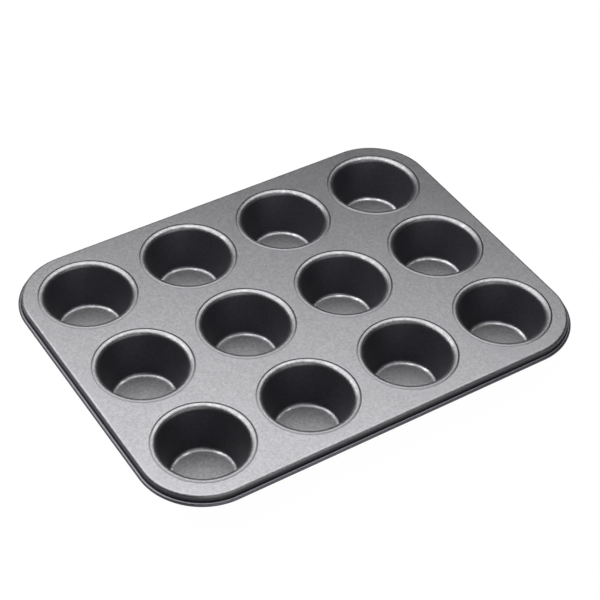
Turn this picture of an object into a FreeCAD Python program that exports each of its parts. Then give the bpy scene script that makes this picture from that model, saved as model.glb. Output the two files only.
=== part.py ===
"""Twelve-cup muffin tin: a pressed deck, twelve drawn cups and a rim wire.

Millimetres, +Z up, origin on the ground under the middle of the tin.
+X runs along the four-cup direction and +Y towards the back row.
"""
import FreeCAD, Part
import math
import os

from FreeCAD import Vector
from Sketcher import Constraint

FULL_TURN = 360
CLOSE = 1e-4

SIZES = {
    "columns": "4",             # cups along X
    "rows": "3",                # cups along Y
    "cup_pitch": "83",          # between neighbouring cup axes
    "cup_depth": "35",          # flange top down to the inside floor
    "mouth_diameter": "63.6",   # inner wall carried up to the flange top
    "floor_diameter": "48.2",   # inner wall carried down to the floor
    "flange_diameter": "72.8",  # outer edge of the flange that lies on the deck
    "coined_width": "1.4",      # slope pressed on the flange's outer edge
    "coined_edge": "0.1",       # what the slope leaves of the flange at that edge
    "mouth_roll": "3.8",        # radius from the flange into the wall
    "floor_roll": "3.2",        # radius from the wall into the floor
    "gauge": "0.5",             # sheet thickness
    "edge_margin": "47.2",      # outermost cup axis to the outside of the skirt
    "corner_radius": "45.5",    # skirt, in plan
    "skirt_drop": "6.6",        # deck top down to the middle of the rolled edge
    "shoulder_radius": "2.2",   # deck into skirt
    "collar_drop": "3.5",       # hole collar below the deck
    "wire_diameter": "2",       # wire inside the rolled edge
    "wire_joint": "1",          # gap where the wire's two ends meet
    "fit_gap": "0.05",          # free play between parts that slide together
}

# Expressions on the sheet, shared by several sub-parts.
GAUGE = "Sizes.gauge"
FLANGE_TOP = "(Sizes.cup_depth + Sizes.gauge)"
DECK_TOP = "Sizes.cup_depth"
DECK_UNDERSIDE = "(Sizes.cup_depth - Sizes.gauge)"
MOUTH_RADIUS = "(Sizes.mouth_diameter / 2)"
FLOOR_RADIUS = "(Sizes.floor_diameter / 2)"
FLANGE_RADIUS = "(Sizes.flange_diameter / 2)"
WALL_SLOPE = f"(({MOUTH_RADIUS} - {FLOOR_RADIUS}) / Sizes.cup_depth)"
WALL_STRETCH = f"sqrt(1 + {WALL_SLOPE} ^ 2)"
ROW_SPAN = "((Sizes.columns - 1) * Sizes.cup_pitch)"
COLUMN_SPAN = "((Sizes.rows - 1) * Sizes.cup_pitch)"
CURL_INSIDE = "(Sizes.wire_diameter / 2 + Sizes.fit_gap)"
CURL_OUTSIDE = f"({CURL_INSIDE} + {GAUGE})"
CURL_HEIGHT = "(Sizes.cup_depth - Sizes.skirt_drop)"

# The rolled edge's lip stops this far round, short of touching the skirt again.
CURL_START_DEGREES = 180
CURL_END_DEGREES = 489


def wall_radius(height, offset="0"):
    """Radius of the inner wall at a height, moved outwards square to the wall."""
    return f"({FLOOR_RADIUS} + ({height} - {GAUGE}) * {WALL_SLOPE} + ({offset}) * {WALL_STRETCH})"


def make_sheet(doc):
    sheet = doc.addObject("Spreadsheet::Sheet", "Sizes")
    for line, (alias, number) in enumerate(SIZES.items(), start=1):
        sheet.set(f"A{line}", alias)
        sheet.set(f"B{line}", number)
        sheet.setAlias(f"B{line}", alias)
    doc.recompute()
    return sheet


def number(item, expression):
    """The value of an expression, as a plain number."""
    value = item.evalExpression(expression)
    return float(getattr(value, "Value", value))


def make_body(doc, label, offset_x="0", offset_y="0"):
    body = doc.addObject("PartDesign::Body", label)
    body.Label = label
    body.setExpression("Placement.Base.x", offset_x)
    body.setExpression("Placement.Base.y", offset_y)
    return body


def origin_feature(body, role):
    return next(item for item in body.Origin.OriginFeatures if item.Role == role)


def make_sketch(body, name, plane, height="0"):
    sketch = body.newObject("Sketcher::SketchObject", name)
    sketch.AttachmentSupport = (origin_feature(body, plane), [""])
    sketch.MapMode = "FlatFace"
    sketch.setExpression("AttachmentOffset.Base.z", height)
    return sketch


def bind(sketch, constraint, expression):
    sketch.setExpression(f"Constraints[{constraint}]", expression)


def locate_along(sketch, geometry, point, kind, axis, expression):
    """Fix one coordinate of a sketch point, measured from the sketch's origin."""
    value = number(sketch, expression)
    if abs(value) < CLOSE:
        sketch.addConstraint(Constraint("PointOnObject", geometry, point, axis))
        return
    if value > 0:
        index = sketch.addConstraint(Constraint(kind, -1, 1, geometry, point, value))
        bind(sketch, index, expression)
        return
    index = sketch.addConstraint(Constraint(kind, geometry, point, -1, 1, -value))
    bind(sketch, index, f"-({expression})")


def locate(sketch, geometry, point, x, y):
    locate_along(sketch, geometry, point, "DistanceX", -2, x)
    locate_along(sketch, geometry, point, "DistanceY", -1, y)


def add_polygon(sketch, corners):
    """Close a loop of straight lines through corners given as expression pairs."""
    points = [Vector(number(sketch, x), number(sketch, y), 0) for x, y in corners]
    following = points[1:] + points[:1]
    lines = [Part.LineSegment(start, end) for start, end in zip(points, following)]
    first = sketch.addGeometry(lines, False)[0]
    count = len(corners)
    for step in range(count):
        after = first + (step + 1) % count
        sketch.addConstraint(Constraint("Coincident", first + step, 2, after, 1))
    for step, (x, y) in enumerate(corners):
        locate(sketch, first + step, 1, x, y)


def add_rounded_loop(sketch, west, east, south, north, radius):
    """A rectangle with rounded corners; its sides and radius are expressions."""
    turn = number(sketch, radius)
    west_in, south_in = f"({west} + {radius})", f"({south} + {radius})"
    east_in, north_in = f"({east} - {radius})", f"({north} - {radius})"
    centres = [(east_in, north_in), (west_in, north_in), (west_in, south_in), (east_in, south_in)]
    axis = Vector(0, 0, 1)
    quarter = math.pi / 2
    arcs = []
    for step, (x, y) in enumerate(centres):
        circle = Part.Circle(Vector(number(sketch, x), number(sketch, y), 0), axis, turn)
        arcs.append(Part.ArcOfCircle(circle, step * quarter, (step + 1) * quarter))
    lines = []
    for arc, after in zip(arcs, arcs[1:] + arcs[:1]):
        lines.append(Part.LineSegment(arc.EndPoint, after.StartPoint))
    loop = [piece for pair in zip(arcs, lines) for piece in pair]
    first = sketch.addGeometry(loop, False)[0]
    count = len(loop)
    for step in range(count):
        after = first + (step + 1) % count
        sketch.addConstraint(Constraint("Tangent", first + step, 2, after, 1))
    for step, (x, y) in enumerate(centres):
        locate(sketch, first + 2 * step, 3, x, y)
        if step:
            sketch.addConstraint(Constraint("Equal", first, first + 2 * step))
    bind(sketch, sketch.addConstraint(Constraint("Radius", first, turn)), radius)


def add_ring_sector(sketch, x, y, inside, outside, start, end):
    """A band between two circles about one centre, cut off square at both ends."""
    centre = Vector(number(sketch, x), number(sketch, y), 0)
    axis = Vector(0, 0, 1)
    angles = (math.radians(start), math.radians(end))
    inner, outer = number(sketch, inside), number(sketch, outside)
    inner_arc = Part.ArcOfCircle(Part.Circle(centre, axis, inner), *angles)
    outer_arc = Part.ArcOfCircle(Part.Circle(centre, axis, outer), *angles)
    cut_off = Part.LineSegment(outer_arc.EndPoint, inner_arc.EndPoint)
    joined = Part.LineSegment(inner_arc.StartPoint, outer_arc.StartPoint)
    first = sketch.addGeometry([outer_arc, cut_off, inner_arc, joined], False)[0]
    second, third, fourth = first + 1, first + 2, first + 3
    sketch.addConstraint(Constraint("Coincident", first, 2, second, 1))
    sketch.addConstraint(Constraint("Coincident", second, 2, third, 2))
    sketch.addConstraint(Constraint("Coincident", third, 1, fourth, 1))
    sketch.addConstraint(Constraint("Coincident", fourth, 2, first, 1))
    sketch.addConstraint(Constraint("Coincident", first, 3, third, 3))
    locate(sketch, first, 3, x, y)
    bind(sketch, sketch.addConstraint(Constraint("Radius", first, outer)), outside)
    bind(sketch, sketch.addConstraint(Constraint("Radius", third, inner)), inside)
    sketch.addConstraint(Constraint("Horizontal", fourth))
    sketch.addConstraint(Constraint("PointOnObject", first, 3, second))
    sketch.addConstraint(Constraint("Angle", second, math.radians(end + FULL_TURN / 2)))


def revolve(body, sketch, name, feature="Revolution"):
    spin = body.newObject(f"PartDesign::{feature}", name)
    spin.Profile = sketch
    spin.ReferenceAxis = (sketch, ["V_Axis"])
    spin.Angle = FULL_TURN
    return spin


def repeat_over_cups(body, feature, name):
    """Copy a feature from the first cup's place to every other cup's place."""
    grid = body.newObject("PartDesign::LinearPattern", name)
    grid.Originals = [feature]
    grid.Direction = (origin_feature(body, "X_Axis"), [""])
    grid.Direction2 = (origin_feature(body, "Y_Axis"), [""])
    grid.setExpression("Occurrences", "Sizes.columns")
    grid.setExpression("Occurrences2", "Sizes.rows")
    grid.setExpression("Length", ROW_SPAN)
    grid.setExpression("Length2", COLUMN_SPAN)
    body.Tip = grid
    return grid


def circles_at(shape, radius, height):
    """Names of the full circles of one radius that lie flat at one height."""
    found = []
    for index, edge in enumerate(shape.Edges, start=1):
        if not isinstance(edge.Curve, Part.Circle):
            continue
        same_radius = abs(edge.Curve.Radius - radius) < CLOSE
        same_height = abs(edge.Curve.Center.z - height) < CLOSE
        if same_radius and same_height:
            found.append(f"Edge{index}")
    return found


def edges_in_plane(shape, height):
    """Names of the edges that lie wholly at one height."""
    found = []
    for index, edge in enumerate(shape.Edges, start=1):
        middle = edge.valueAt((edge.FirstParameter + edge.LastParameter) / 2).z
        heights = [vertex.Point.z for vertex in edge.Vertexes] + [middle]
        if all(abs(z - height) < CLOSE for z in heights):
            found.append(f"Edge{index}")
    return found


def round_edges(body, base, names, radius, label):
    if not names:
        raise RuntimeError(f"{label}: no edges to round")
    fillet = body.newObject("PartDesign::Fillet", label)
    fillet.Base = (base, names)
    fillet.setExpression("Radius", radius)
    body.Document.recompute()
    return fillet


def make_cup(doc, label, x, y):
    """A drawn cup: flat floor, tapered wall and a flange that lies on the deck."""
    body = make_body(doc, label, x, y)
    section = make_sketch(body, "Section", "XZ_Plane")
    outer_floor = wall_radius("0", GAUGE)
    outer_top = wall_radius(DECK_TOP, GAUGE)
    add_polygon(section, [
        ("0", "0"),
        (outer_floor, "0"),
        (outer_top, DECK_TOP),
        (FLANGE_RADIUS, DECK_TOP),
        (FLANGE_RADIUS, f"({DECK_TOP} + Sizes.coined_edge)"),
        (f"({FLANGE_RADIUS} - Sizes.coined_width)", FLANGE_TOP),
        (MOUTH_RADIUS, FLANGE_TOP),
        (FLOOR_RADIUS, GAUGE),
        ("0", GAUGE),
    ])
    shell = revolve(body, section, "Shell")
    doc.recompute()
    rounds = [
        ("MouthRoll", MOUTH_RADIUS, FLANGE_TOP, "Sizes.mouth_roll"),
        ("MouthRollUnder", outer_top, DECK_TOP, f"Sizes.mouth_roll - {GAUGE}"),
        ("FloorRoll", FLOOR_RADIUS, GAUGE, "Sizes.floor_roll"),
        ("FloorRollUnder", outer_floor, "0", f"Sizes.floor_roll + {GAUGE}"),
    ]
    for name, radius, height, roll in rounds:
        edges = circles_at(shell.Shape, number(body, radius), number(body, height))
        shell = round_edges(body, shell, edges, roll, name)
    return body


def make_skirt(body):
    """The pressed sheet before its holes: a flat deck, a shoulder and a skirt."""
    sides = ("-Sizes.edge_margin", f"({ROW_SPAN} + Sizes.edge_margin)",
             "-Sizes.edge_margin", f"({COLUMN_SPAN} + Sizes.edge_margin)")
    outside = make_sketch(body, "SkirtOutside", "XY_Plane", CURL_HEIGHT)
    add_rounded_loop(outside, *sides, "Sizes.corner_radius")
    blank = body.newObject("PartDesign::Pad", "Blank")
    blank.Profile = outside
    blank.setExpression("Length", "Sizes.skirt_drop")

    inner_sides = [f"({side} + {GAUGE})" if side.startswith("-") else f"({side} - {GAUGE})"
                   for side in sides]
    inside = make_sketch(body, "SkirtInside", "XY_Plane", CURL_HEIGHT)
    add_rounded_loop(inside, *inner_sides, f"(Sizes.corner_radius - {GAUGE})")
    hollow = body.newObject("PartDesign::Pocket", "Hollow")
    hollow.Profile = inside
    hollow.Reversed = True
    hollow.setExpression("Length", f"Sizes.skirt_drop - {GAUGE}")
    body.Document.recompute()
    inner_edges = edges_in_plane(hollow.Shape, number(body, DECK_UNDERSIDE))
    bent = round_edges(body, hollow, inner_edges, f"Sizes.shoulder_radius - {GAUGE}", "ShoulderInside")
    outer_edges = edges_in_plane(bent.Shape, number(body, DECK_TOP))
    return round_edges(body, bent, outer_edges, "Sizes.shoulder_radius", "Shoulder")


def make_collars(body):
    """A turned-down collar at every cup's place, tapered like the cup's wall."""
    collar_foot = f"({DECK_UNDERSIDE} - Sizes.collar_drop)"
    boss_section = make_sketch(body, "CollarSection", "XZ_Plane")
    outer = f"(2 * {GAUGE} + Sizes.fit_gap)"
    inner = f"({GAUGE} + Sizes.fit_gap)"
    add_polygon(boss_section, [
        ("0", collar_foot),
        (wall_radius(collar_foot, outer), collar_foot),
        (wall_radius(DECK_UNDERSIDE, outer), DECK_UNDERSIDE),
        ("0", DECK_UNDERSIDE),
    ])
    boss = revolve(body, boss_section, "Collar")
    repeat_over_cups(body, boss, "Collars")
    hole_section = make_sketch(body, "HoleSection", "XZ_Plane")
    add_polygon(hole_section, [
        ("0", collar_foot),
        (wall_radius(collar_foot, inner), collar_foot),
        (wall_radius(DECK_TOP, inner), DECK_TOP),
        ("0", DECK_TOP),
    ])
    hole = revolve(body, hole_section, "CupHole", "Groove")
    holes = repeat_over_cups(body, hole, "CupHoles")
    body.Document.recompute()
    hole_radius = number(body, wall_radius(DECK_TOP, inner))
    rims = circles_at(holes.Shape, hole_radius, number(body, DECK_TOP))
    top = round_edges(body, holes, rims, f"Sizes.mouth_roll - {GAUGE}", "HoleRims")
    root_radius = number(body, wall_radius(DECK_UNDERSIDE, outer))
    roots = circles_at(top.Shape, root_radius, number(body, DECK_UNDERSIDE))
    return round_edges(body, top, roots, f"Sizes.mouth_roll - 2 * {GAUGE}", "CollarRoots")


def make_rolled_edge(body):
    """The skirt's foot rolled outwards, once round the wire."""
    path = make_sketch(body, "EdgePath", "XY_Plane", CURL_HEIGHT)
    east = f"({ROW_SPAN} + Sizes.edge_margin)"
    north = f"({COLUMN_SPAN} + Sizes.edge_margin)"
    add_rounded_loop(path, "-Sizes.edge_margin", east, "-Sizes.edge_margin", north,
                     "Sizes.corner_radius")
    section = make_sketch(body, "EdgeSection", "XZ_Plane")
    centre = f"({east} + {CURL_INSIDE})"
    add_ring_sector(section, centre, CURL_HEIGHT, CURL_INSIDE, CURL_OUTSIDE,
                    CURL_START_DEGREES, CURL_END_DEGREES)
    curl = body.newObject("PartDesign::AdditivePipe", "RolledEdge")
    curl.Profile = section
    curl.Spine = (path, [])
    body.Tip = curl
    body.Document.recompute()
    return curl


def make_deck(doc):
    """The pressed deck, drawn in a frame centred on its first cup hole."""
    body = make_body(doc, "deck", f"-{ROW_SPAN} / 2", f"-{COLUMN_SPAN} / 2")
    make_skirt(body)
    make_collars(body)
    make_rolled_edge(body)
    return body


def make_rim_wire(doc):
    """A round wire bent once round the tin; its ends meet behind the back row."""
    body = make_body(doc, "rim_wire")
    reach = f"(Sizes.edge_margin + {CURL_INSIDE})"
    path = make_sketch(body, "WirePath", "XY_Plane", CURL_HEIGHT)
    add_rounded_loop(path, f"-({ROW_SPAN} / 2 + {reach})", f"({ROW_SPAN} / 2 + {reach})",
                     f"-({COLUMN_SPAN} / 2 + {reach})", f"({COLUMN_SPAN} / 2 + {reach})",
                     f"(Sizes.corner_radius + {CURL_INSIDE})")
    section = make_sketch(body, "WireSection", "YZ_Plane")
    centre = Vector(number(section, f"{COLUMN_SPAN} / 2 + {reach}"), number(section, CURL_HEIGHT), 0)
    radius = "Sizes.wire_diameter / 2"
    circle = section.addGeometry(Part.Circle(centre, Vector(0, 0, 1), number(section, radius)), False)
    locate(section, circle, 3, f"{COLUMN_SPAN} / 2 + {reach}", CURL_HEIGHT)
    bind(section, section.addConstraint(Constraint("Radius", circle, number(section, radius))), radius)
    wire = body.newObject("PartDesign::AdditivePipe", "Wire")
    wire.Profile = section
    wire.Spine = (path, [])
    part_wire_ends(body, f"({COLUMN_SPAN} / 2 + {reach})")
    doc.recompute()
    return body


def part_wire_ends(body, centre):
    """Cut the loop of wire through, square, where its two ends meet."""
    gap = make_sketch(body, "WireGap", "XY_Plane", CURL_HEIGHT)
    near, far = f"({centre} - Sizes.wire_diameter)", f"({centre} + Sizes.wire_diameter)"
    west, east = "(-Sizes.wire_joint / 2)", "(Sizes.wire_joint / 2)"
    add_polygon(gap, [(west, near), (east, near), (east, far), (west, far)])
    cut = body.newObject("PartDesign::Pocket", "WireEnds")
    cut.Profile = gap
    cut.SideType = "Symmetric"
    cut.setExpression("Length", "2 * Sizes.wire_diameter")


def make_cups(doc):
    cups = []
    for row in range(int(SIZES["rows"])):
        for column in range(int(SIZES["columns"])):
            label = f"cup_r{row + 1}_c{column + 1}"
            x = f"{column} * Sizes.cup_pitch - {ROW_SPAN} / 2"
            y = f"{COLUMN_SPAN} / 2 - {row} * Sizes.cup_pitch"
            cups.append(make_cup(doc, label, x, y))
    return cups


def check(doc, parts):
    for item in doc.Objects:
        if "Invalid" in item.State or "Error" in item.State:
            raise RuntimeError(f"{item.Name} ({item.Label}) failed: {item.State}")
        if item.TypeId in ("PartDesign::Pocket", "PartDesign::Groove"):
            if item.Shape.Volume >= item.BaseFeature.Shape.Volume:
                raise RuntimeError(f"{item.Label} cuts nothing away")
    for part in parts:
        shape = part.Shape
        if shape.isNull() or not shape.isValid() or len(shape.Solids) != 1:
            raise RuntimeError(f"{part.Label} is not one valid solid")


def main():
    doc = FreeCAD.newDocument("MuffinTin")
    make_sheet(doc)
    parts = [make_deck(doc), make_rim_wire(doc)] + make_cups(doc)
    doc.recompute()
    check(doc, parts)
    os.makedirs("parts", exist_ok=True)
    for part in parts:
        part.Shape.exportStep(os.path.join("parts", f"{part.Label}.step"))
        box = part.Shape.BoundBox
        print(f"{part.Label}: {part.Shape.Volume:.1f} mm3, {box.XLength:.2f} x {box.YLength:.2f}"
              f" x {box.ZLength:.2f} mm, z {box.ZMin:.2f} to {box.ZMax:.2f}")


main()
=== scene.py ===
import math

import bmesh
import bpy
from mathutils import Matrix, Vector


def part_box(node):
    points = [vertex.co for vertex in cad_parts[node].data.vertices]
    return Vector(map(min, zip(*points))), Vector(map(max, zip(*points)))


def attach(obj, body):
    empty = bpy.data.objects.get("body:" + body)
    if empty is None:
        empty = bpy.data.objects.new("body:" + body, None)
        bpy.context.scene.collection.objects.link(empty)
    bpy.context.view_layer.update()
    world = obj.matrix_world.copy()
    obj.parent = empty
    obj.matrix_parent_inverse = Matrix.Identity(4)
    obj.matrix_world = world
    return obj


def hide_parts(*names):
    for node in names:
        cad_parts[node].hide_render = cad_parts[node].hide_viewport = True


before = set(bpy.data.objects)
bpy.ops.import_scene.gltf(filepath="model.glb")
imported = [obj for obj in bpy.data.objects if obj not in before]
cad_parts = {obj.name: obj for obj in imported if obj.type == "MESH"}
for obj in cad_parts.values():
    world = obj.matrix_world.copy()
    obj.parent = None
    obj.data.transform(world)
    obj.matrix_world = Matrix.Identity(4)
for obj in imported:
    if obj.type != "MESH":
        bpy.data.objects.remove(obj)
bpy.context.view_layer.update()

# Where the camera stands, round the tin: degrees, metres and a full-frame sensor.
VIEW_AZIMUTH = math.radians(-34.26)
VIEW_ELEVATION = math.radians(43.16)
VIEW_ROLL = math.radians(2.78)
VIEW_DISTANCE = 1.2537
LOOK_AT = Vector((0.0042, 0.0003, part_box("cup_r2_c2")[1].z))
SENSOR = 36.0
LENS = 104.0

# The tin's sizes in metres, the same as the CAD model's.
ROWS = 3
COLUMNS = 4
GAUGE = 0.0005
FIT_GAP = 0.00005
FLANGE_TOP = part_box("cup_r1_c1")[1].z
DECK_TOP = FLANGE_TOP - GAUGE
DECK_UNDERSIDE = DECK_TOP - GAUGE
MOUTH_RADIUS = 0.0318
FLOOR_RADIUS = 0.0241
FLANGE_RADIUS = 0.0364
COINED_WIDTH = 0.0014
COINED_EDGE = 0.0001
MOUTH_ROLL = 0.0038
FLOOR_ROLL = 0.0032
COLLAR_FOOT = DECK_UNDERSIDE - 0.0035
EDGE_MARGIN = 0.0472
CORNER_RADIUS = 0.0455
SHOULDER_RADIUS = 0.0022
CURL_HEIGHT = DECK_TOP - 0.0066
WIRE_RADIUS = 0.001
WIRE_JOINT = 0.001
CURL_INSIDE = WIRE_RADIUS + FIT_GAP
CURL_START = math.radians(180)
CURL_END = math.radians(489)

# The mesh eases the break where the flange turns down to its coined slope, and has a
# line of points this share of the way down the slope, where the painted shade is at its darkest.
FLANGE_EASE = 0.0002
COINED_STEP = 0.3

# The rolled edge's greatest wear, which is a little below its outermost line. Its
# top is painted dark between these two directions round the wire: painted shade.
EDGE_WEAR = 0.2
RUBBED_BELOW = math.radians(10)
PAINTED_SHADE_START = math.radians(35)
PAINTED_SHADE_END = math.radians(170)

# The white paper that the tin stands on and in front of. It lies just under the cups,
# so that their undersides and the paper never share a plane.
STAGE_RADIUS = 7.0
PAPER_MIDDLE = 1.0
PAPER_HEIGHT = -0.00005
STAGE_SIDES = 96

# How finely the meshes are cut up: steps round a circle, arcs, long runs, the flat
# disc in the middle of a cup, and the least angle between two directions round a cup.
ROUND_STEPS = 144
WIRE_SIDES = 24
ARC_STEP = math.radians(9)
SHARP_ANGLE = math.radians(35)
LONGEST_STEP = 0.004
SHORTEST_CUT_RUN = 0.0015
WEAR_FADE = 0.0006
CENTRE_RADIUS = 0.004
CLOSEST_DIRECTIONS = 0.004

# Where a section's flat runs are cut off: any distance well clear of its bends.
DECK_RUN = 0.005
SHOULDER_RUN = 0.001

# What counts as nothing: a gap between points that are welded, a difference between two
# reaches, and the part of a direction that lies along an axis.
WELD = 1e-6
SAME_REACH = 1e-7
NO_SLOPE = 1e-9


# --------------------------------------------------------------- section lines
#
# A section is a list of points (across, height, wear and painted light), where the last says how
# the coating is coloured there: 1 where it is rubbed in patches, 2 where it is drawn thin all
# over and painted lighter as a highlight, -1 where it is painted dark as a shade in a crevice.

def arc_between(middle, radius, start, turn, wear_and_painted_light):
    """Points along an arc, with the value for wear and painted light greatest halfway round it."""
    steps = max(3, math.ceil(abs(turn) / ARC_STEP))
    points = []
    for step in range(steps + 1):
        share = step / steps
        angle = start + turn * share
        points.append((middle.x + radius * math.cos(angle),
                       middle.y + radius * math.sin(angle),
                       wear_and_painted_light * math.sin(math.pi * share)))
    return points


def rounded(corners):
    """A section line through corners (across, height, radius, wear and painted light); radius 0 stays
    sharp.
    """
    line = []
    for index, (across, height, radius, wear_and_painted_light) in enumerate(corners):
        here = Vector((across, height))
        if radius == 0:
            line.append((across, height, wear_and_painted_light))
            continue
        before = (Vector(corners[index - 1][:2]) - here).normalized()
        after = (Vector(corners[index + 1][:2]) - here).normalized()
        half = before.angle(after) / 2
        middle = here + (before + after).normalized() * (radius / math.sin(half))
        reach = radius / math.tan(half)
        start = here + before * reach - middle
        end = here + after * reach - middle
        first = math.atan2(start.y, start.x)
        turn = math.remainder(math.atan2(end.y, end.x) - first, 2 * math.pi)
        line.extend(arc_between(middle, radius, first, turn, wear_and_painted_light))
    return line


def with_supports(line):
    """The same line with long runs cut up, so wear and painted light fade within a step of each bend.
    """
    full = [line[0]]
    for start, end in zip(line, line[1:]):
        length = math.hypot(end[0] - start[0], end[1] - start[1])
        near = min(WEAR_FADE, length / 3)
        if length > SHORTEST_CUT_RUN:
            pieces = max(1, round((length - 2 * near) / LONGEST_STEP))
            shares = [(near + (length - 2 * near) * step / pieces) / length
                      for step in range(pieces + 1)]
            for share in shares:
                full.append((start[0] + (end[0] - start[0]) * share,
                             start[1] + (end[1] - start[1]) * share, 0.0))
        full.append(end)
    return full


def wall_radius(height, offset=0.0):
    """Radius of a cup's inner wall at a height, moved outwards square to the wall."""
    slope = (MOUTH_RADIUS - FLOOR_RADIUS) / DECK_TOP
    return FLOOR_RADIUS + (height - GAUGE) * slope + offset * math.hypot(1, slope)


# ------------------------------------------------------------------- the deck
#
# The deck is built cell by cell, one cell round each cup. A cell's sides are listed
# east, north, west, south.

SIDE_WAYS = ((1, 0), (0, 1), (-1, 0), (0, -1))


def cell_sides(row, column):
    """How far each side of a cup's cell is from its centre, and which are the deck's edges."""
    first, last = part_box("cup_r1_c1"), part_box(f"cup_r{ROWS}_c{COLUMNS}")
    half = (last[0].x - first[0].x) / (COLUMNS - 1) / 2
    flat = EDGE_MARGIN - SHOULDER_RADIUS
    edges = (column == COLUMNS, row == 1, column == 1, row == ROWS)
    return [flat if edge else half for edge in edges], edges


def cell_boundary(row, column):
    """The directions round a cup, and for each the deck's or the cell's boundary that way.

    Gives (angle, point, outward), where outward is None on a line shared with a neighbour.
    """
    sides, edges = cell_sides(row, column)
    angles = {round(step * 2 * math.pi / ROUND_STEPS, 9) for step in range(ROUND_STEPS)}
    for quarter in range(4):
        following = (quarter + 1) % 4
        if edges[quarter] and edges[following]:
            continue
        east_or_west, north_or_south = ((quarter, following) if quarter % 2 == 0
                                        else (following, quarter))
        x = sides[east_or_west] * (1 if east_or_west == 0 else -1)
        y = sides[north_or_south] * (1 if north_or_south == 1 else -1)
        angle = math.atan2(y, x) % (2 * math.pi)
        angles = {old for old in angles if abs(old - angle) > CLOSEST_DIRECTIONS}
        angles.add(angle)
    inset = EDGE_MARGIN - CORNER_RADIUS
    turn_radius = CORNER_RADIUS - SHOULDER_RADIUS
    boundary = []
    for angle in sorted(angles):
        way = Vector((math.cos(angle), math.sin(angle)))
        reaches = [sides[0] / way.x if way.x > NO_SLOPE else math.inf,
                   sides[1] / way.y if way.y > NO_SLOPE else math.inf,
                   sides[2] / -way.x if way.x < -NO_SLOPE else math.inf,
                   sides[3] / -way.y if way.y < -NO_SLOPE else math.inf]
        reach = min(reaches)
        side = reaches.index(reach)
        outward = None
        if edges[side]:
            outward = Vector(SIDE_WAYS[side])
        else:
            # A line's end that is also on the deck's edge belongs to the edge.
            for other in range(4):
                if edges[other] and abs(reaches[other] - reach) < SAME_REACH:
                    outward = Vector(SIDE_WAYS[other])
        point = way * reach
        across = 0 if way.x > 0 else 2
        along = 1 if way.y > 0 else 3
        if edges[across] and edges[along]:
            centre = Vector((math.copysign(inset, way.x), math.copysign(inset, way.y)))
            beyond = abs(point.x) > inset and abs(point.y) > inset
            if beyond:
                ahead = way.dot(centre)
                reach = ahead + math.sqrt(ahead * ahead - centre.length_squared + turn_radius ** 2)
                point = way * reach
                outward = (point - centre).normalized()
        boundary.append((angle, point, outward))
    return boundary


def collar_section():
    """From the deck's top face, round the hole's rim, down and back up the collar."""
    inside, outside = GAUGE + FIT_GAP, 2 * GAUGE + FIT_GAP
    away = FLANGE_RADIUS + DECK_RUN
    return with_supports(rounded([
        (away, DECK_TOP, 0, 0),
        (wall_radius(DECK_TOP, inside), DECK_TOP, MOUTH_ROLL - GAUGE, 0),
        (wall_radius(COLLAR_FOOT, inside), COLLAR_FOOT, 0, 0.8),
        (wall_radius(COLLAR_FOOT, outside), COLLAR_FOOT, 0, 0.8),
        (wall_radius(DECK_UNDERSIDE, outside), DECK_UNDERSIDE, MOUTH_ROLL - 2 * GAUGE, 0),
        (away, DECK_UNDERSIDE, 0, 0),
    ])[1:-1])


def skirt_section():
    """From the deck's top face out over the shoulder, down, round the wire and back inside.

    Across is measured outwards from the line where the flat deck ends.
    """
    outside = SHOULDER_RADIUS
    inside = SHOULDER_RADIUS - GAUGE
    line = rounded([(-SHOULDER_RUN, DECK_TOP, 0, 0), (outside, DECK_TOP, SHOULDER_RADIUS, 0.1),
                    (outside, CURL_HEIGHT, 0, 0)])[1:-1]
    middle = Vector((outside + CURL_INSIDE, CURL_HEIGHT))
    turn = CURL_END - CURL_START
    line += arc_between(middle, CURL_INSIDE, CURL_START, turn, 0)
    lip = Vector((math.cos(CURL_END), math.sin(CURL_END)))
    lip_middle = middle + lip * (CURL_INSIDE + GAUGE / 2)
    line += arc_between(lip_middle, GAUGE / 2, CURL_END + math.pi, -math.pi, 0.7)[1:-1]
    # The outer face: rubbed below its outermost line, with painted shade on its top.
    outer = arc_between(middle, CURL_INSIDE + GAUGE, CURL_END, -turn, 0)
    line += [(across, height, edge_wear_and_painted_shade(across - middle.x, height - middle.y))
             for across, height, _ in outer]
    line += rounded([(inside, CURL_HEIGHT, 0, 0), (inside, DECK_UNDERSIDE, inside, 0),
                     (-SHOULDER_RUN, DECK_UNDERSIDE, 0, 0)])[1:-1]
    return with_supports(line)


def edge_wear_and_painted_shade(across, height):
    """The rolled edge's wear, and the painted shade on its top, at a place measured from the middle
    of its wire.
    """
    angle = math.atan2(height, across)
    painted_shade = 1.0 if PAINTED_SHADE_START < angle < PAINTED_SHADE_END else 0
    return EDGE_WEAR * max(0.0, math.cos(angle + RUBBED_BELOW)) ** 2 - painted_shade


def add_strips(mesh, wear_and_painted_light, rings, closed):
    """Quads between neighbouring rings of (point, wear and painted light)."""
    verts = []
    for ring in rings:
        row = []
        for point, rubbed_and_painted_light in ring:
            vert = mesh.verts.new(point)
            vert[wear_and_painted_light] = rubbed_and_painted_light
            row.append(vert)
        verts.append(row)
    count = len(rings)
    for index in range(count if closed else count - 1):
        here, there = verts[index], verts[(index + 1) % count]
        for low in range(len(here) - 1):
            mesh.faces.new((here[low], there[low], there[low + 1], here[low + 1]))
    return verts


def new_mesh():
    mesh = bmesh.new()
    return mesh, mesh.verts.layers.float.new("wear_and_painted_light")


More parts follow.
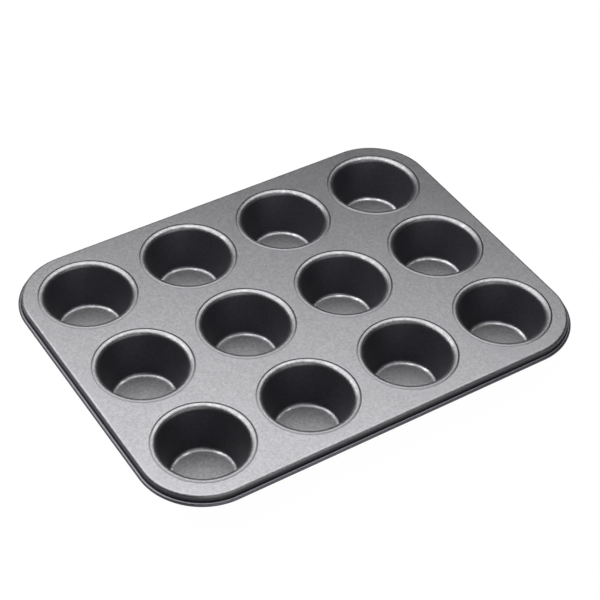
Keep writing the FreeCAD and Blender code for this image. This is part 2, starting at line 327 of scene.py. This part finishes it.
def finish_piece(mesh, name, material, node):
    """Weld and shade a mesh, and put it in the frame in place of a CAD node."""
    bmesh.ops.remove_doubles(mesh, verts=mesh.verts, dist=WELD)
    bmesh.ops.recalc_face_normals(mesh, faces=mesh.faces)
    data = bpy.data.meshes.new(name)
    mesh.to_mesh(data)
    mesh.free()
    data.shade_smooth()
    data.set_sharp_from_angle(angle=SHARP_ANGLE)
    data.materials.append(material)
    piece = bpy.data.objects.new(name, data)
    bpy.context.scene.collection.objects.link(piece)
    weigh = piece.modifiers.new("even_normals", "WEIGHTED_NORMAL")
    weigh.keep_sharp = True
    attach(piece, "root")
    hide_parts(node)


def cup_centre(row, column):
    low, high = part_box(f"cup_r{row}_c{column}")
    return Vector(((low.x + high.x) / 2, (low.y + high.y) / 2))


def deck_edge():
    """The line where the flat deck ends, once round: (point, outward), from the back's middle."""
    line = {}
    for row in range(1, ROWS + 1):
        for column in range(1, COLUMNS + 1):
            centre = cup_centre(row, column)
            for _, point, outward in cell_boundary(row, column):
                if outward is not None:
                    place = centre + point
                    line[round(place.x, 6), round(place.y, 6)] = (place, outward)
    return sorted(line.values(), key=lambda entry: math.atan2(entry[0].x, entry[0].y) % (2 * math.pi))


def build_deck(material):
    mesh, wear_and_painted_light = new_mesh()
    collar = collar_section()
    for row in range(1, ROWS + 1):
        for column in range(1, COLUMNS + 1):
            centre = cup_centre(row, column)
            rings = []
            for angle, point, _ in cell_boundary(row, column):
                way = Vector((math.cos(angle), math.sin(angle)))
                limit = centre + point
                ring = [(Vector((*limit, DECK_TOP)), 0.0)]
                for radius, height, rubbed_and_painted_light in collar:
                    place = centre + way * radius
                    ring.append((Vector((*place, height)), rubbed_and_painted_light))
                ring.append((Vector((*limit, DECK_UNDERSIDE)), 0.0))
                rings.append(ring)
            add_strips(mesh, wear_and_painted_light, rings, True)
    skirt = skirt_section()
    rings = []
    for point, outward in deck_edge():
        ring = []
        for across, height, rubbed_and_painted_light in skirt:
            place = point + outward * across
            ring.append((Vector((*place, height)), rubbed_and_painted_light))
        rings.append(ring)
    add_strips(mesh, wear_and_painted_light, rings, True)
    finish_piece(mesh, "deck_pressing", material, "deck")


# ------------------------------------------------------------------- the cups

def cup_section():
    """Closed section of a cup, from the inside of the floor to the underside."""
    outer_top = wall_radius(DECK_TOP, GAUGE)
    outer_floor = wall_radius(0, GAUGE)
    coined_height = GAUGE - COINED_EDGE
    slope_start = FLANGE_RADIUS - COINED_WIDTH
    return with_supports(rounded([
        (CENTRE_RADIUS, GAUGE, 0, 0),
        # The floor's rounded corner is lighter: the coat drawn thin there, and a painted highlight.
        (FLOOR_RADIUS, GAUGE, FLOOR_ROLL, 1.45),
        (MOUTH_RADIUS, FLANGE_TOP, MOUTH_ROLL, 0.6),
        (slope_start, FLANGE_TOP, FLANGE_EASE, 0.3),
        # The coined slope and the flange's foot are painted dark: painted shade, a dark line round
        # the cup.
        (slope_start + COINED_WIDTH * COINED_STEP, FLANGE_TOP - coined_height * COINED_STEP, 0, -1),
        (FLANGE_RADIUS, DECK_TOP + COINED_EDGE, 0, -1),
        (FLANGE_RADIUS, DECK_TOP, 0, -1),
        (outer_top, DECK_TOP, MOUTH_ROLL - GAUGE, 0),
        (outer_floor, 0, FLOOR_ROLL + GAUGE, 1),
        (CENTRE_RADIUS, 0, 0, 0),
    ]))


def build_cup(row, column, material):
    mesh, wear_and_painted_light = new_mesh()
    centre = cup_centre(row, column)
    section = cup_section()
    rings = []
    for step in range(ROUND_STEPS):
        angle = 2 * math.pi * step / ROUND_STEPS
        way = Vector((math.cos(angle), math.sin(angle)))
        ring = []
        for radius, height, rubbed_and_painted_light in section:
            place = centre + way * radius
            ring.append((Vector((*place, height)), rubbed_and_painted_light))
        rings.append(ring)
    verts = add_strips(mesh, wear_and_painted_light, rings, True)
    for end in (0, -1):
        middle = mesh.verts.new((*centre, section[end][1]))
        for index in range(ROUND_STEPS):
            mesh.faces.new((middle, verts[index][end], verts[(index + 1) % ROUND_STEPS][end]))
    finish_piece(mesh, f"cup_shell_r{row}_c{column}", material,
                 f"cup_r{row}_c{column}")


# ------------------------------------------------------------------- the wire

def build_wire(material):
    mesh, wear_and_painted_light = new_mesh()
    line = [entry for entry in deck_edge() if abs(entry[0].x) > WIRE_JOINT or entry[0].y < 0]
    back = line[0][0].y
    north = Vector((0, 1))
    line = ([(Vector((WIRE_JOINT / 2, back)), north)] + line
            + [(Vector((-WIRE_JOINT / 2, back)), north)])
    across = SHOULDER_RADIUS + CURL_INSIDE
    rings = []
    for point, outward in line:
        ring = []
        for side in range(WIRE_SIDES + 1):
            angle = 2 * math.pi * side / WIRE_SIDES
            place = point + outward * (across + WIRE_RADIUS * math.cos(angle))
            ring.append((Vector((*place, CURL_HEIGHT + WIRE_RADIUS * math.sin(angle))), 0.0))
        rings.append(ring)
    verts = add_strips(mesh, wear_and_painted_light, rings, False)
    for end in (verts[0], verts[-1]):
        mesh.faces.new(end[:-1])
    finish_piece(mesh, "wire_loop", material, "rim_wire")


# ------------------------------------------------------------------ materials

def new_material(name):
    material = bpy.data.materials.new(name)
    material.use_nodes = True
    tree = material.node_tree
    return material, tree, tree.nodes["Principled BSDF"]


def add_noise(tree, place, scale, detail, roughness=0.5):
    noise = tree.nodes.new("ShaderNodeTexNoise")
    noise.inputs["Scale"].default_value = scale
    noise.inputs["Detail"].default_value = detail
    noise.inputs["Roughness"].default_value = roughness
    tree.links.new(place, noise.inputs["Vector"])
    return noise.outputs["Fac"]


def add_range(tree, value, low, high, to_low, to_high):
    ranged = tree.nodes.new("ShaderNodeMapRange")
    ranged.inputs["From Min"].default_value = low
    ranged.inputs["From Max"].default_value = high
    ranged.inputs["To Min"].default_value = to_low
    ranged.inputs["To Max"].default_value = to_high
    tree.links.new(value, ranged.inputs["Value"])
    return ranged.outputs["Result"]


def add_math(tree, operation, first, second):
    node = tree.nodes.new("ShaderNodeMath")
    node.operation = operation
    for socket, value in zip(node.inputs, (first, second)):
        if isinstance(value, (int, float)):
            socket.default_value = value
        else:
            tree.links.new(value, socket)
    return node.outputs["Value"]


def add_mix(tree, factor, first, second):
    mix = tree.nodes.new("ShaderNodeMix")
    mix.data_type = "RGBA"
    tree.links.new(factor, mix.inputs["Factor"])
    for socket, colour in (("A", first), ("B", second)):
        if isinstance(colour, tuple):
            mix.inputs[socket].default_value = (*colour, 1)
        else:
            tree.links.new(colour, mix.inputs[socket])
    return mix.outputs["Result"]


# Each coating colour is a pair: between the flakes, and on them. The walls' pair is bluer than the
# deck's: a painted bluish reflection.
DECK_COAT = ((0.048, 0.048, 0.0499), (0.0715, 0.0715, 0.0744))
WALL_COAT_PAINTED_BLUE = ((0.0495, 0.048, 0.056), (0.067, 0.065, 0.0758))
FLOOR_COAT = ((0.036, 0.036, 0.037), (0.066, 0.066, 0.068))
# Bare steel, for real wear and for the painted highlight.
BARE_STEEL_WEAR_AND_HIGHLIGHT = (0.16, 0.158, 0.155)
# Near black, for painted shade in crevices.
PAINTED_SHADE_COAT = (0.02, 0.02, 0.022)
DULL_WIRE = (0.42, 0.42, 0.42)
BRIGHT_WIRE = (0.55, 0.545, 0.54)

# Heights over which one coat gives way to the next: (none of it, all of it).
FLOOR_FADE = (0.0011, 0.0007)
PAINTED_BLUE_FADE = (0.0335, 0.0305)

# Sizes of the surface patterns, in noise cells to the metre.
FLAKE_SCALE = 1600
MOTTLE_SCALE = 560
CLOUD_SCALE = 24
WEAR_PATCH_SCALE = 160
WIRE_STREAK_SCALE = 900
WIRE_DULL_SCALE = 70

# Depths of the surface relief, in metres.
FLAKE_RELIEF = 0.00002
STREAK_RELIEF = 0.00001

# How much rougher the coat is on the cup floors, and smoother where it is rubbed.
ROUGHNESS_SHIFT = 0.12


def coated_steel():
    """Dark non-stick coating with metal flake: satin, finely speckled, rubbed on its bends, painted
    dark in crevices as painted shade, painted lighter on the cup floors' rounded corners as a painted
    highlight, and painted bluer on the walls as a painted reflection.
    """
    material, tree, shader = new_material("coated_steel")
    shader.inputs["Metallic"].default_value = 0.95
    place = tree.nodes.new("ShaderNodeTexCoord").outputs["Object"]
    flake = add_noise(tree, place, FLAKE_SCALE, 2, 0.6)
    mottle = add_noise(tree, place, MOTTLE_SCALE, 2, 0.6)
    cloud = add_noise(tree, place, CLOUD_SCALE, 3)
    height = tree.nodes.new("ShaderNodeSeparateXYZ")
    tree.links.new(place, height.inputs["Vector"])
    in_floor = add_range(tree, height.outputs["Z"], *FLOOR_FADE, 0, 1)
    # Below the deck the coat turns bluer: a painted bluish reflection on the cup walls.
    painted_blue_below_deck = add_range(tree, height.outputs["Z"], *PAINTED_BLUE_FADE, 0, 1)

    grain = add_math(tree, "ADD", add_math(tree, "MULTIPLY", flake, 0.5),
                     add_math(tree, "MULTIPLY", mottle, 0.5))
    grain = add_range(tree, grain, 0.38, 0.62, 0, 1)
    deck_coat = add_mix(tree, grain, *DECK_COAT)
    wall_coat_painted_blue = add_mix(tree, grain, *WALL_COAT_PAINTED_BLUE)
    coat = add_mix(tree, painted_blue_below_deck, deck_coat, wall_coat_painted_blue)
    floor_coat = add_mix(tree, grain, *FLOOR_COAT)
    coat = add_mix(tree, in_floor, coat, floor_coat)

    attribute = tree.nodes.new("ShaderNodeAttribute")
    attribute.attribute_name = "wear_and_painted_light"
    patch = add_range(tree, add_noise(tree, place, WEAR_PATCH_SCALE, 4, 0.6), 0.50, 0.66, 0, 1)
    patchy_wear_and_highlight = add_range(tree, attribute.outputs["Fac"], 0, 1, 0, 0.5)
    # Above 1 the coat is lighter all over: drawn thin, and a painted highlight on the cup floors'
    # corners.
    thin_coat_and_painted_highlight = add_range(tree, attribute.outputs["Fac"], 1, 2, 0, 0.5)
    rubbed_and_painted_light = add_math(tree, "ADD", add_math(tree, "MULTIPLY", patchy_wear_and_highlight, patch), thin_coat_and_painted_highlight)
    # Below 0 the coat is painted dark: painted shade.
    painted_shade = add_range(tree, attribute.outputs["Fac"], 0, -1, 0, 0.7)
    colour = add_mix(tree, rubbed_and_painted_light, coat, BARE_STEEL_WEAR_AND_HIGHLIGHT)
    colour = add_mix(tree, painted_shade, colour, PAINTED_SHADE_COAT)
    tree.links.new(colour, shader.inputs["Base Color"])

    rough = add_math(tree, "ADD", add_range(tree, cloud, 0.3, 0.7, 0.385, 0.41),
                     add_range(tree, grain, 0, 1, -0.015, 0.015))
    rough = add_math(tree, "SUBTRACT", rough, add_math(tree, "MULTIPLY", rubbed_and_painted_light, ROUGHNESS_SHIFT))
    rough = add_math(tree, "ADD", rough, add_math(tree, "MULTIPLY", in_floor, ROUGHNESS_SHIFT))
    tree.links.new(rough, shader.inputs["Roughness"])

    bump = tree.nodes.new("ShaderNodeBump")
    bump.inputs["Strength"].default_value = 0.25
    bump.inputs["Distance"].default_value = FLAKE_RELIEF
    tree.links.new(grain, bump.inputs["Height"])
    tree.links.new(bump.outputs["Normal"], shader.inputs["Normal"])
    return material


def drawn_wire():
    """Plain steel wire, finely streaked and slightly dulled."""
    material, tree, shader = new_material("drawn_wire")
    shader.inputs["Metallic"].default_value = 1.0
    place = tree.nodes.new("ShaderNodeTexCoord").outputs["Object"]
    streak = add_noise(tree, place, WIRE_STREAK_SCALE, 3)
    dull = add_noise(tree, place, WIRE_DULL_SCALE, 3)
    tree.links.new(add_mix(tree, dull, DULL_WIRE, BRIGHT_WIRE), shader.inputs["Base Color"])
    tree.links.new(add_range(tree, streak, 0.3, 0.7, 0.28, 0.42), shader.inputs["Roughness"])
    bump = tree.nodes.new("ShaderNodeBump")
    bump.inputs["Strength"].default_value = 0.3
    bump.inputs["Distance"].default_value = STREAK_RELIEF
    tree.links.new(streak, bump.inputs["Height"])
    tree.links.new(bump.outputs["Normal"], shader.inputs["Normal"])
    return material


# ---------------------------------------------------------------------- stage

def white_paper():
    """Evenly lit white paper, with the faintest shadow under what stands on it."""
    material = bpy.data.materials.new("white_paper")
    material.use_nodes = True
    tree = material.node_tree
    tree.nodes.clear()
    glow = tree.nodes.new("ShaderNodeEmission")
    glow.inputs["Strength"].default_value = 0.99
    paper = tree.nodes.new("ShaderNodeBsdfDiffuse")
    paper.inputs["Color"].default_value = (0.004, 0.004, 0.004, 1)
    both = tree.nodes.new("ShaderNodeAddShader")
    output = tree.nodes.new("ShaderNodeOutputMaterial")
    tree.links.new(glow.outputs["Emission"], both.inputs[0])
    tree.links.new(paper.outputs["BSDF"], both.inputs[1])
    tree.links.new(both.outputs["Shader"], output.inputs["Surface"])
    return material


def add_stage_piece(name, rings, material):
    """A round sheet through rings of (radius, height), closed in the middle if it is flat."""
    mesh, _ = new_mesh()
    turned = []
    for side in range(STAGE_SIDES):
        angle = 2 * math.pi * side / STAGE_SIDES
        turned.append([mesh.verts.new((radius * math.cos(angle), radius * math.sin(angle), height))
                       for radius, height in rings])
    for side in range(STAGE_SIDES):
        here, there = turned[side], turned[(side + 1) % STAGE_SIDES]
        for low in range(len(rings) - 1):
            mesh.faces.new((here[low], there[low], there[low + 1], here[low + 1]))
    if rings[-1][1] == rings[0][1]:
        mesh.faces.new([column[0] for column in turned])
    data = bpy.data.meshes.new(name)
    mesh.to_mesh(data)
    mesh.free()
    data.materials.append(material)
    piece = bpy.data.objects.new(name, data)
    piece.visible_diffuse = False
    bpy.context.scene.collection.objects.link(piece)
    return piece


def add_stage():
    """A white floor just under the cups and a white wall all round, far behind."""
    paper = white_paper()
    add_stage_piece("floor", [(PAPER_MIDDLE, PAPER_HEIGHT), (STAGE_RADIUS, PAPER_HEIGHT)], paper)
    wall = add_stage_piece("backdrop", [(STAGE_RADIUS, PAPER_HEIGHT),
                                        (STAGE_RADIUS, STAGE_RADIUS)], paper)
    wall.visible_glossy = False


def add_panel(name, azimuth, elevation, distance, width, length, turn, radiance):
    """A soft panel light that faces the tin.

    Azimuth and elevation are in degrees, seen from the tin's middle and counted round from
    the camera's far side; turn spins the panel about the line to the tin.
    """
    around = VIEW_AZIMUTH + math.radians(azimuth)
    height = math.radians(elevation)
    away = Vector((-math.sin(around) * math.cos(height), math.cos(around) * math.cos(height),
                   math.sin(height)))
    level = away.cross(Vector((0, 0, 1))).normalized()
    upward = level.cross(away)
    spin = math.radians(turn)
    across = level * math.cos(spin) + upward * math.sin(spin)
    along = away.cross(across)
    light = bpy.data.lights.new(name, "AREA")
    light.shape = "RECTANGLE"
    light.size = width
    light.size_y = length
    light.energy = radiance * math.pi * width * length
    panel = bpy.data.objects.new(name, light)
    facing = Matrix((across, along, away)).transposed().to_4x4()
    panel.matrix_world = Matrix.Translation(LOOK_AT + away * distance) @ facing
    panel.visible_camera = False
    bpy.context.scene.collection.objects.link(panel)


def set_world(colour, level):
    world = bpy.data.worlds.new("studio")
    world.use_nodes = True
    background = world.node_tree.nodes["Background"]
    background.inputs["Color"].default_value = (*colour, 1)
    background.inputs["Strength"].default_value = level
    bpy.context.scene.world = world


def add_camera():
    back = Vector((math.sin(VIEW_AZIMUTH) * math.cos(VIEW_ELEVATION),
                   -math.cos(VIEW_AZIMUTH) * math.cos(VIEW_ELEVATION),
                   math.sin(VIEW_ELEVATION)))
    level = back.cross(Vector((0, 0, -1))).normalized()
    rise = back.cross(level)
    across = level * math.cos(VIEW_ROLL) + rise * math.sin(VIEW_ROLL)
    upward = rise * math.cos(VIEW_ROLL) - level * math.sin(VIEW_ROLL)
    lens = bpy.data.cameras.new("camera")
    lens.sensor_width = SENSOR
    lens.lens = LENS
    lens.clip_start = 0.01
    camera = bpy.data.objects.new("camera", lens)
    turn = Matrix((across, upward, back)).transposed().to_4x4()
    camera.matrix_world = Matrix.Translation(LOOK_AT + back * VIEW_DISTANCE) @ turn
    bpy.context.scene.collection.objects.link(camera)
    bpy.context.scene.camera = camera


coating = coated_steel()
build_deck(coating)
for row in range(1, ROWS + 1):
    for column in range(1, COLUMNS + 1):
        build_cup(row, column, coating)
build_wire(drawn_wire())

add_stage()
add_panel("overhead", azimuth=60.8, elevation=71.2, distance=0.768,
          width=1.0, length=1.745, turn=-41.7, radiance=13.3)
add_panel("front", azimuth=210, elevation=22.8, distance=0.9,
          width=1.056, length=0.861, turn=-2, radiance=2.87)
set_world(colour=(0.92, 0.92, 1.0), level=0.06)
add_camera()
bpy.context.scene.view_settings.view_transform = "Standard"
